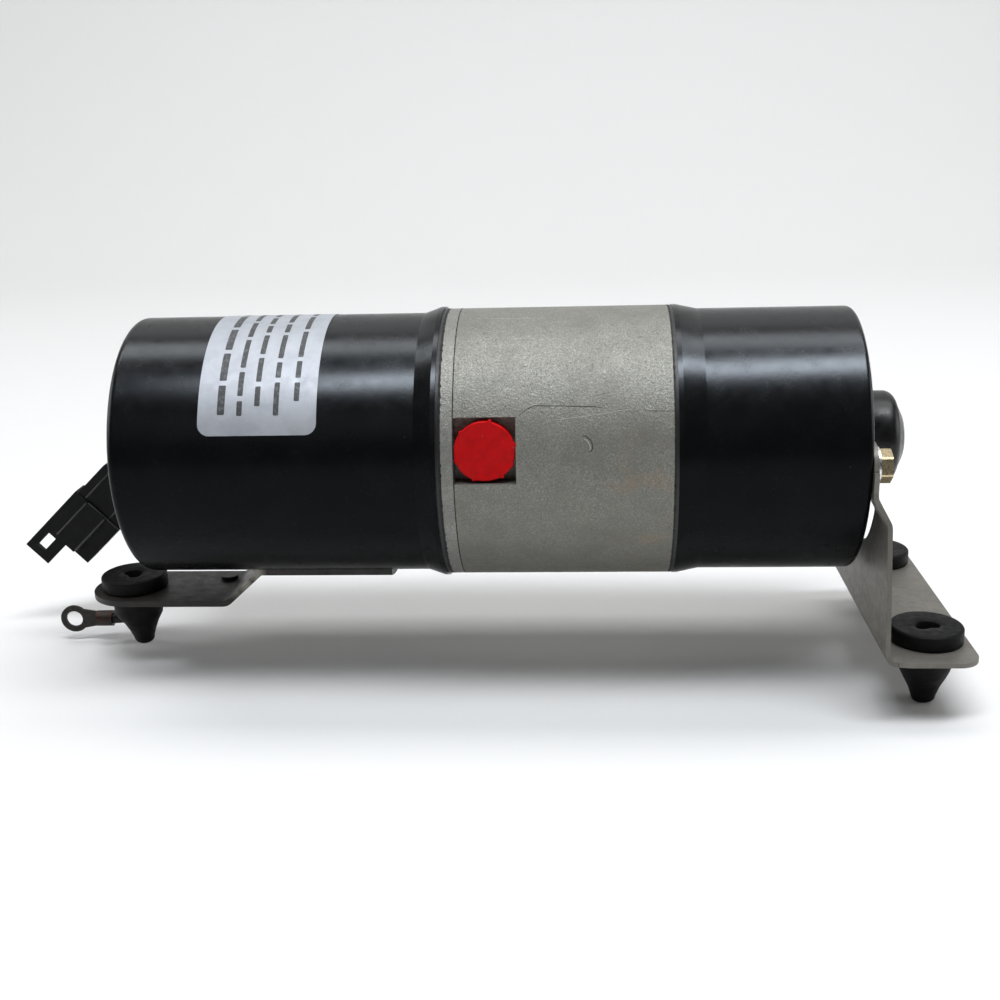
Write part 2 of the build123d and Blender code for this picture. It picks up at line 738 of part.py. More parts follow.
def earth_eye():
    """Ring terminal with its crimp barrel, in a frame with x along the tongue and z across it."""
    tongue_dir = eye_point(1) - eye_point(0)
    frame = Plane(origin=eye_centre, x_dir=tongue_dir, z_dir=tongue_dir.cross(Vector(0, 0, -1)))
    flat = 0.9
    ring = Circle(5.1) - Circle(eye_hole_r)
    neck = make_face(Polyline((3.6, 3.6), (eye_barrel_x + 1, 2.6), (eye_barrel_x + 1, -2.6),
                              (3.6, -3.6), close=True)) - Circle(eye_hole_r)
    tongue = Pos(0, 0, -flat / 2) * extrude(ring + neck, flat)
    return frame * (tongue + rod_x(2.9, eye_barrel_x, eye_barrel_end))


def earth_tab():
    """Tag riveted under the motor bracket, where the earth lead starts."""
    under = strap_top_z - strap
    tag = rod_z(4.2, under - 0.9, under, rivet_x, rivet_y)
    tag += block(earth_tab_end[0] + 3, rivet_x, rivet_y - 2.4, rivet_y + 2.4, under - 0.9, under)
    barrel = rod_x(2.8, earth_tab_end[0], earth_tab_end[0] + 6, rivet_y, earth_tab_end[2])
    return tag + barrel - rod_z(rivet_r + 0.05, under_strap_z, over_strap_z, rivet_x, rivet_y)


def earth_rivet():
    under = strap_top_z - strap - 0.9
    head = rod_z(3, strap_top_z, strap_top_z + 1.2, rivet_x, rivet_y)
    tail = rod_z(2.8, under - 1, under, rivet_x, rivet_y)
    return head + tail + rod_z(rivet_r, under - 0.5, strap_top_z + 0.5, rivet_x, rivet_y)


save("motor_can", motor_can())
save("label", label())
save("motor_through_bolts", *through_bolts())
save("lead_grommet", lead_grommet())
save("field_core", field_core())
save("armature_shaft", armature_shaft())
save("armature_core", armature_core())
save("armature_winding", armature_winding())
save("commutator", commutator())
save("commutator_sleeve", commutator_sleeve())
save("brush_plate", brush_plate())
save("rear_bearing", bush(rear_bush_x0, rear_bush_x1))
save("front_bearing", bush(front_bush_x0, front_bush_x1))
save("thrust_washers", *thrust_washers())
save("adapter_plate", adapter_plate())
save("motor_gasket", motor_gasket())
save("pump_body", pump_body())
save("shaft_seal", shaft_seal())
save("inner_rotor", inner_rotor())
save("outer_rotor", outer_rotor())
save("drive_pin", drive_pin())
save("control_piston", control_piston())
save("piston_plugs", *piston_plugs())
save("rotor_cover", rotor_cover())
save("cover_screws", *cover_screws())
save("inlet_filters", *inlet_filters())
save("reservoir_gasket", reservoir_gasket())
save("reservoir", reservoir())
save("filler_plug", filler_plug())
save("reservoir_bracket", reservoir_bracket())
save("washers", *washers())
save("reservoir_bolts", *reservoir_bolts())
save("motor_bracket", motor_bracket())
save("rubber_mount_front", rubber_mount(mount_x, -mount_y, bracket_top_z, sheet))
save("rubber_mount_rear", rubber_mount(mount_x, mount_y, bracket_top_z, sheet))
save("rubber_mount_motor", rubber_mount(motor_mount_x, 0, strap_top_z, strap))
save("connector_housing", connector_housing())
save("connector_terminals", *connector_terminals())
save("power_lead_upper", cord("upper lead", lead_route(upper_lead, cell_y[0]), lead_r))
save("power_lead_lower", cord("lower lead", lead_route(lower_lead, cell_y[1]), lead_r))
save("earth_lead", cord("earth lead", earth_lead_route(), earth_lead_r))
save("earth_eye", earth_eye())
save("earth_tab", earth_tab())
save("earth_rivet", earth_rivet())
for suffix, side in (("front", -1), ("rear", 1)):
    save("field_coil_" + suffix, field_coil(side))
    save("brush_holder_" + suffix, brush_holder(side))
    save("brush_" + suffix, brush(side))
    save("brush_spring_" + suffix, brush_spring(side))
    save("check_ball_" + suffix, check_ball(side))
    save("port_cap_" + suffix, port_cap(side))
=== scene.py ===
import json
import math
import random

import bmesh
import bpy
from mathutils import Matrix, Vector


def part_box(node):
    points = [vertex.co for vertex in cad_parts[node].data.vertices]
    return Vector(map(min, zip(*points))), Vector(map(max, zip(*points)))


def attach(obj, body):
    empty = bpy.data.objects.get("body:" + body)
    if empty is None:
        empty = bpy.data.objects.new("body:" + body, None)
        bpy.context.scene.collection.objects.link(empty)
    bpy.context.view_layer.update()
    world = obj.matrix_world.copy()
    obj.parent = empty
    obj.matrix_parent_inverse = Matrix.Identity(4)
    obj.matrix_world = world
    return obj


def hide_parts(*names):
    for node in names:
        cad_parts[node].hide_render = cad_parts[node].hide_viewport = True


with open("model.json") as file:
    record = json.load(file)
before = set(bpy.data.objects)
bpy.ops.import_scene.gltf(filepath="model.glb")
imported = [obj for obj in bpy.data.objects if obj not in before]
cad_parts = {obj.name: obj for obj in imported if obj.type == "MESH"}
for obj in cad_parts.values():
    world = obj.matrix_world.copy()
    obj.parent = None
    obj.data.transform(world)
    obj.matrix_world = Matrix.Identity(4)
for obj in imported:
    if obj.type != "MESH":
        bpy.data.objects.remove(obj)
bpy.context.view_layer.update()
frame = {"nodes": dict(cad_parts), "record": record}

MM = 0.001

# Places are millimetres from the motor's flange on the unit's axis, as in part.py:
# X from motor to reservoir, -Y towards the front port, Z up.
joint_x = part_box("motor_gasket")[1].x
axis_z = (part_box("reservoir")[0].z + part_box("reservoir")[1].z) / 2


def at(x, y, z):
    return Vector((joint_x + x * MM, y * MM, axis_z + z * MM))


def from_flange(x):
    """Millimetres from the motor's flange of an X of the row frame."""
    return (x - joint_x) / MM


can_r = 43.2
body_r = 44.45
port_x, port_z = 13.9, 7.8


# Camera, at the photograph's viewing angle
CAMERA_PLACE = (44.9, -415.9, 109.1)
CAMERA_YAW, CAMERA_PITCH, CAMERA_ROLL = -4.084, 17.332, -1.685
CAMERA_LENS = 45.85


def add_camera():
    data = bpy.data.cameras.new("camera")
    data.sensor_width = 36
    data.lens = CAMERA_LENS
    data.clip_start = 0.01
    camera = bpy.data.objects.new("camera", data)
    turn = Matrix.Rotation(math.radians(-CAMERA_YAW), 4, "Z")
    turn = turn @ Matrix.Rotation(math.radians(90 - CAMERA_PITCH), 4, "X")
    turn = turn @ Matrix.Rotation(math.radians(CAMERA_ROLL), 4, "Z")
    camera.matrix_world = Matrix.Translation(at(*CAMERA_PLACE)) @ turn
    bpy.context.collection.objects.link(camera)
    bpy.context.scene.camera = camera


# Materials
class Recipe:
    """A node material with short names for the nodes that are used over and over."""

    def __init__(self, name, colour, roughness, metallic=0.0):
        self.material = bpy.data.materials.new(name)
        self.material.use_nodes = True
        self.tree = self.material.node_tree
        self.shader = self.tree.nodes["Principled BSDF"]
        self.shader.inputs["Base Color"].default_value = (*colour, 1)
        self.shader.inputs["Roughness"].default_value = roughness
        self.shader.inputs["Metallic"].default_value = metallic
        self.place = self.node("ShaderNodeTexCoord").outputs["Object"]
        self.colour = (*colour, 1)
        self.height = None

    def node(self, kind, **settings):
        made = self.tree.nodes.new(kind)
        for key, value in settings.items():
            setattr(made, key, value)
        return made

    def join(self, value, socket):
        if isinstance(value, bpy.types.NodeSocket):
            self.tree.links.new(value, socket)
        else:
            socket.default_value = value

    def noise(self, size, detail=4.0, rough=0.55, stretch=None, warp=0.0):
        """Noise with features about size millimetres across, stretched along an axis if asked."""
        made = self.node("ShaderNodeTexNoise")
        made.inputs["Scale"].default_value = 1 / (size * MM)
        made.inputs["Detail"].default_value = detail
        made.inputs["Roughness"].default_value = rough
        made.inputs["Distortion"].default_value = warp
        self.join(self.stretched(stretch), made.inputs["Vector"])
        return made.outputs["Fac"]

    def stretched(self, stretch):
        if stretch is None:
            return self.place
        made = self.node("ShaderNodeMapping")
        self.join(self.place, made.inputs["Vector"])
        made.inputs["Scale"].default_value = stretch
        return made.outputs["Vector"]

    def cells(self, size):
        """Distance to the nearest of points about size millimetres apart."""
        made = self.node("ShaderNodeTexVoronoi")
        made.inputs["Scale"].default_value = 1 / (size * MM)
        self.join(self.place, made.inputs["Vector"])
        return made.outputs["Distance"]

    def span(self, value, low, high, to_low=0.0, to_high=1.0):
        made = self.node("ShaderNodeMapRange")
        self.join(value, made.inputs["Value"])
        for key, number in (("From Min", low), ("From Max", high), ("To Min", to_low), ("To Max", to_high)):
            made.inputs[key].default_value = number
        return made.outputs["Result"]

    def times(self, a, b):
        made = self.node("ShaderNodeMath", operation="MULTIPLY")
        self.join(a, made.inputs[0])
        self.join(b, made.inputs[1])
        return made.outputs["Value"]

    def tint(self, mask, colour):
        """Paints colour where the mask is 1."""
        made = self.node("ShaderNodeMix", data_type="RGBA")
        self.join(mask, made.inputs["Factor"])
        self.join(self.colour, made.inputs["A"])
        made.inputs["B"].default_value = (*colour, 1)
        self.colour = made.outputs["Result"]
        self.join(self.colour, self.shader.inputs["Base Color"])
        return self

    def gloss(self, mask, low, high):
        """Roughness that runs from low to high with a mask."""
        self.join(self.span(mask, 0.3, 0.7, low, high), self.shader.inputs["Roughness"])
        return self

    def bump(self, value, depth, strength=1.0):
        """Relief depth millimetres high, on top of any relief before it."""
        made = self.node("ShaderNodeBump")
        made.inputs["Distance"].default_value = depth * MM
        made.inputs["Strength"].default_value = strength
        self.join(value, made.inputs["Height"])
        if self.height is not None:
            self.join(self.height, made.inputs["Normal"])
        self.height = made.outputs["Normal"]
        self.join(self.height, self.shader.inputs["Normal"])
        return self

    def set(self, **numbers):
        for key, number in numbers.items():
            self.shader.inputs[key.replace("_", " ")].default_value = number
        return self

    def axis(self, index):
        made = self.node("ShaderNodeSeparateXYZ")
        self.join(self.place, made.inputs["Vector"])
        return made.outputs[index]


def black_enamel():
    r = Recipe("black_enamel", (0.0032, 0.0033, 0.0035), 0.36)
    cloud = r.noise(14, detail=5)
    r.tint(r.span(cloud, 0.45, 0.75, 0, 0.5), (0.007, 0.0072, 0.0075))
    dust = r.times(r.span(r.cells(5.5), 0.035, 0.02), r.span(r.noise(9), 0.52, 0.6))
    r.tint(r.times(dust, 0.6), (0.16, 0.155, 0.15))
    drag = r.span(r.noise(2.6, stretch=(0.2, 1, 1), warp=0.8), 0.7, 0.75)
    scuff = r.times(drag, r.span(cloud, 0.52, 0.62))
    r.tint(r.times(scuff, 0.35), (0.05, 0.05, 0.05))
    r.gloss(r.noise(6, detail=8, rough=0.7), 0.2, 0.3)
    # Painted reflection colour: a bluish specular tint on the enamel alone, standing in for a cool light that
    # would also tint the aluminium.
    r.shader.inputs["Specular Tint"].default_value = (0.84, 0.92, 1, 1)
    r.bump(r.noise(1.1, detail=3), 0.012).bump(r.noise(0.3), 0.004).bump(dust, 0.012)
    height = r.axis(2)
    shine = r.times(r.span(height, axis_z + 6 * MM, axis_z + 30 * MM, 0.07, 0.44),
                    r.span(height, axis_z + 39.5 * MM, axis_z + 43 * MM, 1, 0.3))
    r.join(shine, r.shader.inputs["Specular IOR Level"])
    return r.material


def cast_aluminium(name, colour, stained_and_shaded):
    r = Recipe(name, colour, 0.5, 0.65)
    skin = r.noise(0.55, detail=6, rough=0.7)
    r.tint(r.span(skin, 0.5, 0.75, 0, 0.55), tuple(c * 0.55 for c in colour))
    glint = r.span(r.noise(0.45, detail=3), 0.48, 0.68, 0, 0.42)
    r.tint(glint, (0.5, 0.5, 0.475))
    pore = r.span(r.noise(0.7, detail=5, rough=0.7), 0.42, 0.34, 0, 0.6)
    r.tint(pore, tuple(c * 0.4 for c in colour))
    r.tint(r.span(r.noise(13, detail=7, rough=0.6), 0.45, 0.65, 0, 0.5), tuple(c * 0.74 for c in colour))
    if stained_and_shaded:
        # Painted shade: the body darker towards the bottom, away from the overhead light.
        low = r.span(r.axis(2), axis_z + 12 * MM, axis_z - 40 * MM, 0, 0.5)
        r.tint(low, (colour[0] * 0.62, colour[1] * 0.62, colour[2] * 0.56))
        low_part = r.span(r.axis(2), axis_z + 20 * MM, axis_z)
        warm = r.times(r.span(r.noise(9, detail=3), 0.5, 0.68), low_part)
        right = r.span(r.axis(0), joint_x + 40 * MM, joint_x + 58 * MM, 0, 0.4)
        r.tint(r.times(warm, right), (0.27, 0.2, 0.13))
        pit = r.times(r.span(r.cells(4.5), 0.05, 0.03), r.span(r.noise(7), 0.55, 0.62))
        r.tint(pit, (0.07, 0.065, 0.06)).bump(pit, -0.1)
    r.gloss(r.noise(1.6, detail=8, rough=0.75), 0.4, 0.62)
    r.bump(skin, 0.13).bump(r.noise(1.1, detail=4), 0.16).bump(pore, -0.06).bump(r.noise(8, detail=2), 0.15)
    return r.material


def moulded_rubber():
    r = Recipe("moulded_rubber", (0.004, 0.004, 0.004), 0.6)
    r.tint(r.span(r.noise(5, detail=6), 0.48, 0.72, 0, 0.6), (0.013, 0.012, 0.0115))
    dust = r.times(r.span(r.cells(1.8), 0.07, 0.04), r.span(r.noise(4), 0.5, 0.6))
    r.tint(r.times(dust, 0.4), (0.11, 0.105, 0.1))
    r.gloss(r.noise(2.4, detail=6), 0.42, 0.62)
    r.bump(r.noise(0.6, detail=6, rough=0.7), 0.05).bump(r.noise(3.5), 0.12)
    return r.set(Specular_IOR_Level=0.1).material


def plug_rubber():
    r = Recipe("plug_rubber", (0.004, 0.004, 0.0042), 0.4)
    r.tint(r.span(r.noise(4, detail=5), 0.5, 0.75, 0, 0.5), (0.012, 0.012, 0.012))
    r.gloss(r.noise(3, detail=6), 0.25, 0.42)
    r.bump(r.noise(0.8, detail=4), 0.02).bump(r.noise(5), 0.1)
    return r.set(Specular_IOR_Level=0.35).material


def red_plastic():
    r = Recipe("red_plastic", (0.5, 0.0025, 0.004), 0.5)
    r.tint(r.span(r.noise(3.5, detail=5), 0.45, 0.7, 0, 0.55), (0.32, 0.002, 0.003))
    rubs = r.span(r.noise(1.6, stretch=(1, 1, 0.3), warp=2.5), 0.66, 0.7)
    streak = r.times(rubs, r.span(r.noise(6), 0.48, 0.58))
    r.tint(r.times(streak, 0.6), (0.58, 0.1, 0.09))
    r.gloss(r.noise(1.8, detail=6), 0.32, 0.52)
    r.bump(r.noise(2.2, detail=3, warp=1.0), 0.12).bump(streak, 0.05).bump(r.noise(0.4), 0.01)
    return r.set(Specular_IOR_Level=0.1).material


def stained_steel(name, colour, tone):
    """Dull plated sheet with brown flecks and darker handling marks."""
    r = Recipe(name, colour, 0.5, 0.55)
    r.tint(r.span(r.noise(13, detail=7, rough=0.65), 0.42, 0.72, 0, 0.65), tuple(c * tone for c in colour))
    rust = r.times(r.span(r.noise(1.3, detail=6), 0.6, 0.68), r.span(r.noise(8), 0.52, 0.64))
    r.tint(r.times(rust, 0.6), (0.16, 0.085, 0.05))
    r.tint(r.span(r.noise(0.7, detail=5), 0.55, 0.75, 0, 0.3), tuple(c * 0.6 for c in colour))
    r.gloss(r.noise(2.2, detail=7, rough=0.7), 0.38, 0.62)
    return r.bump(r.noise(0.5, detail=5), 0.018).bump(r.noise(9), 0.08).bump(rust, 0.03).material


def plated(name, colour, rough, grain=0.9):
    """Plated or ground metal, with a fine brushed grain."""
    r = Recipe(name, colour, rough, 1.0)
    r.tint(r.span(r.noise(2.5, detail=5), 0.45, 0.7, 0, 0.5), tuple(c * 0.68 for c in colour))
    r.tint(r.span(r.noise(0.6, detail=3), 0.62, 0.72, 0, 0.4), tuple(c * 0.4 for c in colour))
    r.gloss(r.noise(grain, detail=6, stretch=(1, 0.3, 1)), rough * 0.75, rough * 1.3)
    return r.bump(r.noise(grain, detail=5, stretch=(1, 0.25, 1)), 0.012).material


def black_strap():
    r = Recipe("black_strap", (0.015, 0.013, 0.012), 0.48, 0.1)
    r.tint(r.span(r.noise(11, detail=7, rough=0.65), 0.42, 0.68, 0, 0.8), (0.036, 0.03, 0.026))
    chip = r.times(r.span(r.noise(1.2, detail=5), 0.63, 0.68), r.span(r.noise(7), 0.55, 0.62))
    r.tint(r.times(chip, 0.7), (0.11, 0.07, 0.05))
    r.gloss(r.noise(4, detail=7, rough=0.7), 0.36, 0.58)
    # Painted highlight: the strap's ramp lighter towards its top, standing in for the light it catches.
    ramp = r.times(r.span(r.axis(2), axis_z - 51.5 * MM, axis_z - 46.5 * MM), r.span(r.noise(5), 0.3, 0.5))
    ramp_highlight = r.times(ramp, r.span(r.axis(0), joint_x - 64 * MM, joint_x - 67 * MM))
    r.tint(r.times(ramp_highlight, 0.8), (0.36, 0.34, 0.29))
    r.bump(r.noise(0.9, detail=5), 0.02).bump(chip, -0.03).bump(r.noise(6), 0.06)
    return r.set(Specular_IOR_Level=0.35).material


def nylon():
    r = Recipe("nylon", (0.0035, 0.0036, 0.0035), 0.44)
    r.tint(r.span(r.noise(6, detail=6), 0.48, 0.74, 0, 0.6), (0.009, 0.009, 0.0085))
    scratch = r.span(r.noise(1.4, stretch=(0.4, 1, 1), warp=3), 0.68, 0.71, 0, 0.4)
    r.tint(scratch, (0.05, 0.05, 0.048))
    r.gloss(r.noise(2, detail=6), 0.3, 0.5)
    r.bump(r.noise(0.5, detail=5), 0.02).bump(r.noise(5), 0.05)
    return r.set(Specular_IOR_Level=0.12).material


def wire_cover():
    r = Recipe("wire_cover", (0.005, 0.005, 0.005), 0.42)
    r.tint(r.span(r.noise(2.5, detail=5), 0.5, 0.72, 0, 0.6), (0.014, 0.0135, 0.013))
    r.gloss(r.noise(1.5), 0.34, 0.54)
    r.bump(r.noise(0.5, detail=4, stretch=(0.3, 1, 1)), 0.03)
    return r.set(Specular_IOR_Level=0.3).material


def tarnished():
    r = Recipe("tarnished_terminal", (0.03, 0.026, 0.022), 0.46, 0.6)
    r.tint(r.span(r.noise(2.2, detail=6), 0.48, 0.66, 0, 0.8), (0.013, 0.011, 0.01))
    barrel = r.times(r.span(r.axis(0), joint_x - 138 * MM, joint_x - 136 * MM), r.span(r.noise(2.2), 0.5, 0.58))
    r.tint(r.times(barrel, 0.6), (0.075, 0.018, 0.01))
    r.gloss(r.noise(1.2, detail=6), 0.34, 0.6)
    return r.bump(r.noise(0.4, detail=5), 0.03).material


def label_foil():
    r = Recipe("label_foil", (0.42, 0.44, 0.475), 0.5, 0.5)
    r.tint(r.span(r.noise(7, detail=6, rough=0.65), 0.44, 0.66, 0, 0.6), (0.33, 0.35, 0.39))
    r.tint(r.span(r.noise(0.8, detail=5), 0.6, 0.72, 0, 0.3), (0.56, 0.58, 0.62))
    r.gloss(r.noise(3, detail=6), 0.44, 0.6)
    return r.bump(r.noise(1.5, detail=4), 0.015).bump(r.noise(10), 0.08).material


def printed_ink():
    r = Recipe("label_ink", (0.045, 0.047, 0.05), 0.5, 0.2)
    r.tint(r.span(r.noise(1.2, detail=6), 0.5, 0.66, 0, 0.7), (0.13, 0.135, 0.145))
    return r.bump(r.noise(0.6), 0.01).material


def varnished_wire():
    r = Recipe("varnished_wire", (0.42, 0.16, 0.06), 0.32, 0.8)
    strand = r.node("ShaderNodeTexWave", bands_direction="Z")
    r.join(r.place, strand.inputs["Vector"])
    strand.inputs["Scale"].default_value = 400
    strand.inputs["Distortion"].default_value = 2
    r.tint(r.span(strand.outputs["Fac"], 0.2, 0.5, 0.7, 0), (0.16, 0.05, 0.02))
    return r.bump(strand.outputs["Fac"], 0.15).material


def stacked_laminations():
    r = Recipe("stacked_laminations", (0.2, 0.19, 0.18), 0.45, 0.8)
    layer = r.node("ShaderNodeTexWave", bands_direction="X")
    r.join(r.place, layer.inputs["Vector"])
    layer.inputs["Scale"].default_value = 320
    r.tint(r.span(layer.outputs["Fac"], 0.1, 0.3, 0.8, 0), (0.05, 0.045, 0.04))
    return r.bump(layer.outputs["Fac"], 0.05).gloss(r.noise(2), 0.35, 0.6).material


def plain(name, colour, rough, metallic=0.0, grain=0.8):
    """Inner parts: a mottled, finely grained surface."""
    r = Recipe(name, colour, rough, metallic)
    r.tint(r.span(r.noise(3, detail=5), 0.45, 0.7, 0, 0.6), tuple(c * 0.65 for c in colour))
    r.gloss(r.noise(grain * 2, detail=5), rough * 0.8, rough * 1.25)
    return r.bump(r.noise(grain, detail=4), 0.02).material


def floor_paper():
    r = Recipe("floor_paper", (0.76, 0.76, 0.755), 0.85)
    r.tint(r.span(r.noise(400), 0.4, 0.7, 0, 0.3), (0.74, 0.74, 0.735))
    return r.bump(r.noise(2), 0.05).material


materials = {
    "black_paint": black_enamel(),
    "cast_aluminium": cast_aluminium("cast_aluminium", (0.216, 0.214, 0.188), True),
    "plate_aluminium": cast_aluminium("plate_aluminium", (0.236, 0.234, 0.212), False),
    "rubber": moulded_rubber(),
    "gasket": plain("gasket_rubber", (0.008, 0.008, 0.008), 0.4),
    "red_cap": red_plastic(),
    "grey_steel": stained_steel("grey_steel", (0.19, 0.178, 0.156), 0.6),
    "yellow_zinc": plated("yellow_zinc", (0.6, 0.49, 0.31), 0.28, 0.6),
    "bright_zinc": plated("bright_zinc", (0.8, 0.8, 0.8), 0.26, 0.6),
    "steel": plated("ground_steel", (0.5, 0.5, 0.5), 0.26),
    "black_strap": black_strap(),
    "black_nylon": nylon(),
    "lead_cover": wire_cover(),
    "tinned_brass": tarnished(),
    "copper": varnished_wire(),
    "lamination": stacked_laminations(),
    "sintered_steel": plain("sintered_steel", (0.26, 0.25, 0.24), 0.42, 0.9, 0.4),
    "brass": plain("brass", (0.62, 0.45, 0.16), 0.32, 1.0),
    "bronze": plain("bronze", (0.42, 0.26, 0.11), 0.42, 0.9, 0.4),
    "carbon": plain("carbon", (0.03, 0.03, 0.03), 0.6),
    "fibre": plain("fibre", (0.22, 0.1, 0.04), 0.6),
    "label_foil": label_foil(),
    "mesh": plated("filter_mesh", (0.5, 0.44, 0.3), 0.4, 0.3),
}


def paint_nodes():
    """Every CAD node takes the material of its own slot in the record."""
    for part in frame["record"]["subparts"]:
        node = frame["nodes"][part["node"]]
        node.data.materials.clear()
        node.data.materials.append(materials[part["material_slot"]])


EDGE_WIDTHS = (("reservoir_bracket", 0.3), ("motor_bracket", 0.3), ("reservoir_bolts", 0.35), ("washers", 0.2),
               ("connector_housing", 0.45), ("pump_body", 0.15), ("adapter_plate", 0.15))


def round_edges(node, width):
    """Breaks a CAD node's sharp edges, so that they catch the light as real ones do."""
    bevel = frame["nodes"][node].modifiers.new("edges", "BEVEL")
    bevel.width = width * MM
    bevel.segments = 2
    bevel.limit_method = "ANGLE"
    bevel.angle_limit = math.radians(40)
    bevel.harden_normals = True


# Mesh pieces
def piece(name, mesh, material, body, slot_name, *stands_for):
    """Links a mesh or a bmesh as a piece of the object."""
    if isinstance(mesh, bmesh.types.BMesh):
        bmesh.ops.recalc_face_normals(mesh, faces=mesh.faces)
        data = bpy.data.meshes.new(name)
        mesh.to_mesh(data)
        mesh.free()
    else:
        data = mesh
    obj = bpy.data.objects.new(name, data)
    data.materials.append(material)
    bpy.context.collection.objects.link(obj)
    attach(obj, body)
    if stands_for:
        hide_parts(*stands_for)
    return obj


def smooth(obj, angle=35):
    """Shades smooth, with edges sharper than the angle kept."""
    data = obj.data
    mesh = bmesh.new()
    mesh.from_mesh(data)
    for face in mesh.faces:
        face.smooth = True
    for edge in mesh.edges:
        edge.smooth = len(edge.link_faces) == 2 and edge.calc_face_angle(0) < math.radians(angle)
    mesh.to_mesh(data)
    mesh.free()


def lathe(profile, to_world, segments=96, shape=None):
    """Turned solid from (radius, height) points; shape(radius, height, angle) may move a point."""
    mesh = bmesh.new()
    rings = []
    for radius, height in profile:
        count = 1 if radius == 0 else segments
        ring = []
        for k in range(count):
            angle = 2 * math.pi * k / segments
            r, h = (radius, height) if shape is None else shape(radius, height, angle)
            ring.append(mesh.verts.new(to_world(r * math.cos(angle), r * math.sin(angle), h)))
        rings.append(ring)
    for a, b in zip(rings, rings[1:]):
        for k in range(segments):
            corners = [a[k % len(a)], a[(k + 1) % len(a)], b[(k + 1) % len(b)], b[k % len(b)]]
            unique = list(dict.fromkeys(corners))
            if len(unique) > 2:
                mesh.faces.new(unique)
    return mesh


def arc(centre, radius, start, end, steps=6):
    """Points of an arc, angles in degrees, for a lathe's profile."""
    points = []
    for k in range(steps + 1):
        angle = math.radians(start + (end - start) * k / steps)
        points.append((centre[0] + radius * math.cos(angle), centre[1] + radius * math.sin(angle)))
    return points


def wobble(angle, amounts, phase=0.0):
    """Sum of waves round a turned shape, one amount for each whole number of waves from 2."""
    return sum(a * math.sin((k + 2) * angle + phase + 1.7 * k) for k, a in enumerate(amounts))


# Rubber mounts
MOUNT_TOP_R = 11.4
MOUNT_HEIGHT = 26.2
MOUNT_DISC = 5.1
STRAP_THICK, SHEET_THICK = 2.0, 1.5


def mount_profile(disc, gripped):
    """Outline of a mount from its hole's floor, over the disc, down to the tip; top at height 0."""
    under = -disc - gripped
    tip = -MOUNT_HEIGHT
    hole = [(0, tip + 10), (2.6, tip + 10.4), (3.1, tip + 12), (3.2, -1.2), (3.5, -0.35), (4.1, -0.02)]
    top = [(6.0, 0), (9.0, 0.02)] + arc((MOUNT_TOP_R - 0.9, -0.9), 0.9, 90, 0)
    rim = [(MOUNT_TOP_R, -disc + 0.5), (MOUNT_TOP_R - 0.4, -disc), (6.4, -disc), (6.4, under)]
    neck = [(8.0, under), (8.4, under - 0.4), (8.45, under - 3.4), (8.4, under - 6.6), (8.0, under - 8.2)]
    cone = [(6.4, under - 11.2), (4.9, under - 14.2), (3.8, tip + 2.2)]
    return hole + top + rim + neck + cone + arc((2.0, tip + 1.7), 1.7, 0, -90) + [(0, tip)]


def add_mount(node, phase, lean):
    low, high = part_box(node)
    x, y, top = (low.x + high.x) / 2, (low.y + high.y) / 2, high.z
    gripped = STRAP_THICK if node == "rubber_mount_motor" else SHEET_THICK

    def place(a, b, h):
        drift = lean * min(0, (h + 9) / (MOUNT_HEIGHT - 9))
        return Vector((x + (a - drift) * MM, y + b * MM, top + h * MM))

    def shape(radius, height, angle):
        if radius < 4.2 and height > -12:
            radius += wobble(angle, (0.5, 0.42, 0.16), phase)
        elif height < -16:
            radius += wobble(angle, (0.16, 0.16), phase) * radius / 4
        elif radius < MOUNT_TOP_R - 1.5:
            height += 0.05 * math.sin(3 * angle + phase) if height > -0.2 else 0
        return radius, height

    mesh = lathe(mount_profile(MOUNT_DISC, gripped), place, shape=shape)
    obj = piece(node + "_moulded", mesh, materials["rubber"], "unit", "rubber", node)
    smooth(obj)


# Filler plug
def add_plug():
    low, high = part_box("filler_plug")
    face = from_flange(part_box("reservoir")[1].x)
    tip = from_flange(high.x) - face
    plug_r = (high.y - low.y) / 2 / MM
    start = from_flange(low.x) - face

    def place(a, b, h):
        return at(face + h, a, b)

    stem = [(10.4, start), (11.8, start), (11.92, start + 0.5), (11.92, 0.02)]
    skirt = [(plug_r - 0.3, 0.02), (plug_r, 0.4), (plug_r, 1.2), (plug_r - 0.25, 1.6), (plug_r - 0.25, tip - 7.2)]
    shoulder = arc((plug_r - 4.0, tip - 6.8), 3.75, 0, 62)
    dome = [(11.6, tip - 2.9), (9.8, tip - 1.9), (7.8, tip - 0.95), (5.2, tip - 0.35), (2.6, tip - 0.06), (0, tip)]
    mesh = lathe(stem + skirt + shoulder + dome, place)
    obj = piece("filler_plug_moulded", mesh, plug_rubber(), "filler_plug", "rubber", "filler_plug")
    smooth(obj, 40)


# Port caps
CAP_R = 9.45
CAP_TABS = ((79, 0.95), (12, 0.9), (197, 0.7), (140, 0.5), (304, 0.75), (248, 0.7), (333, 0.4))


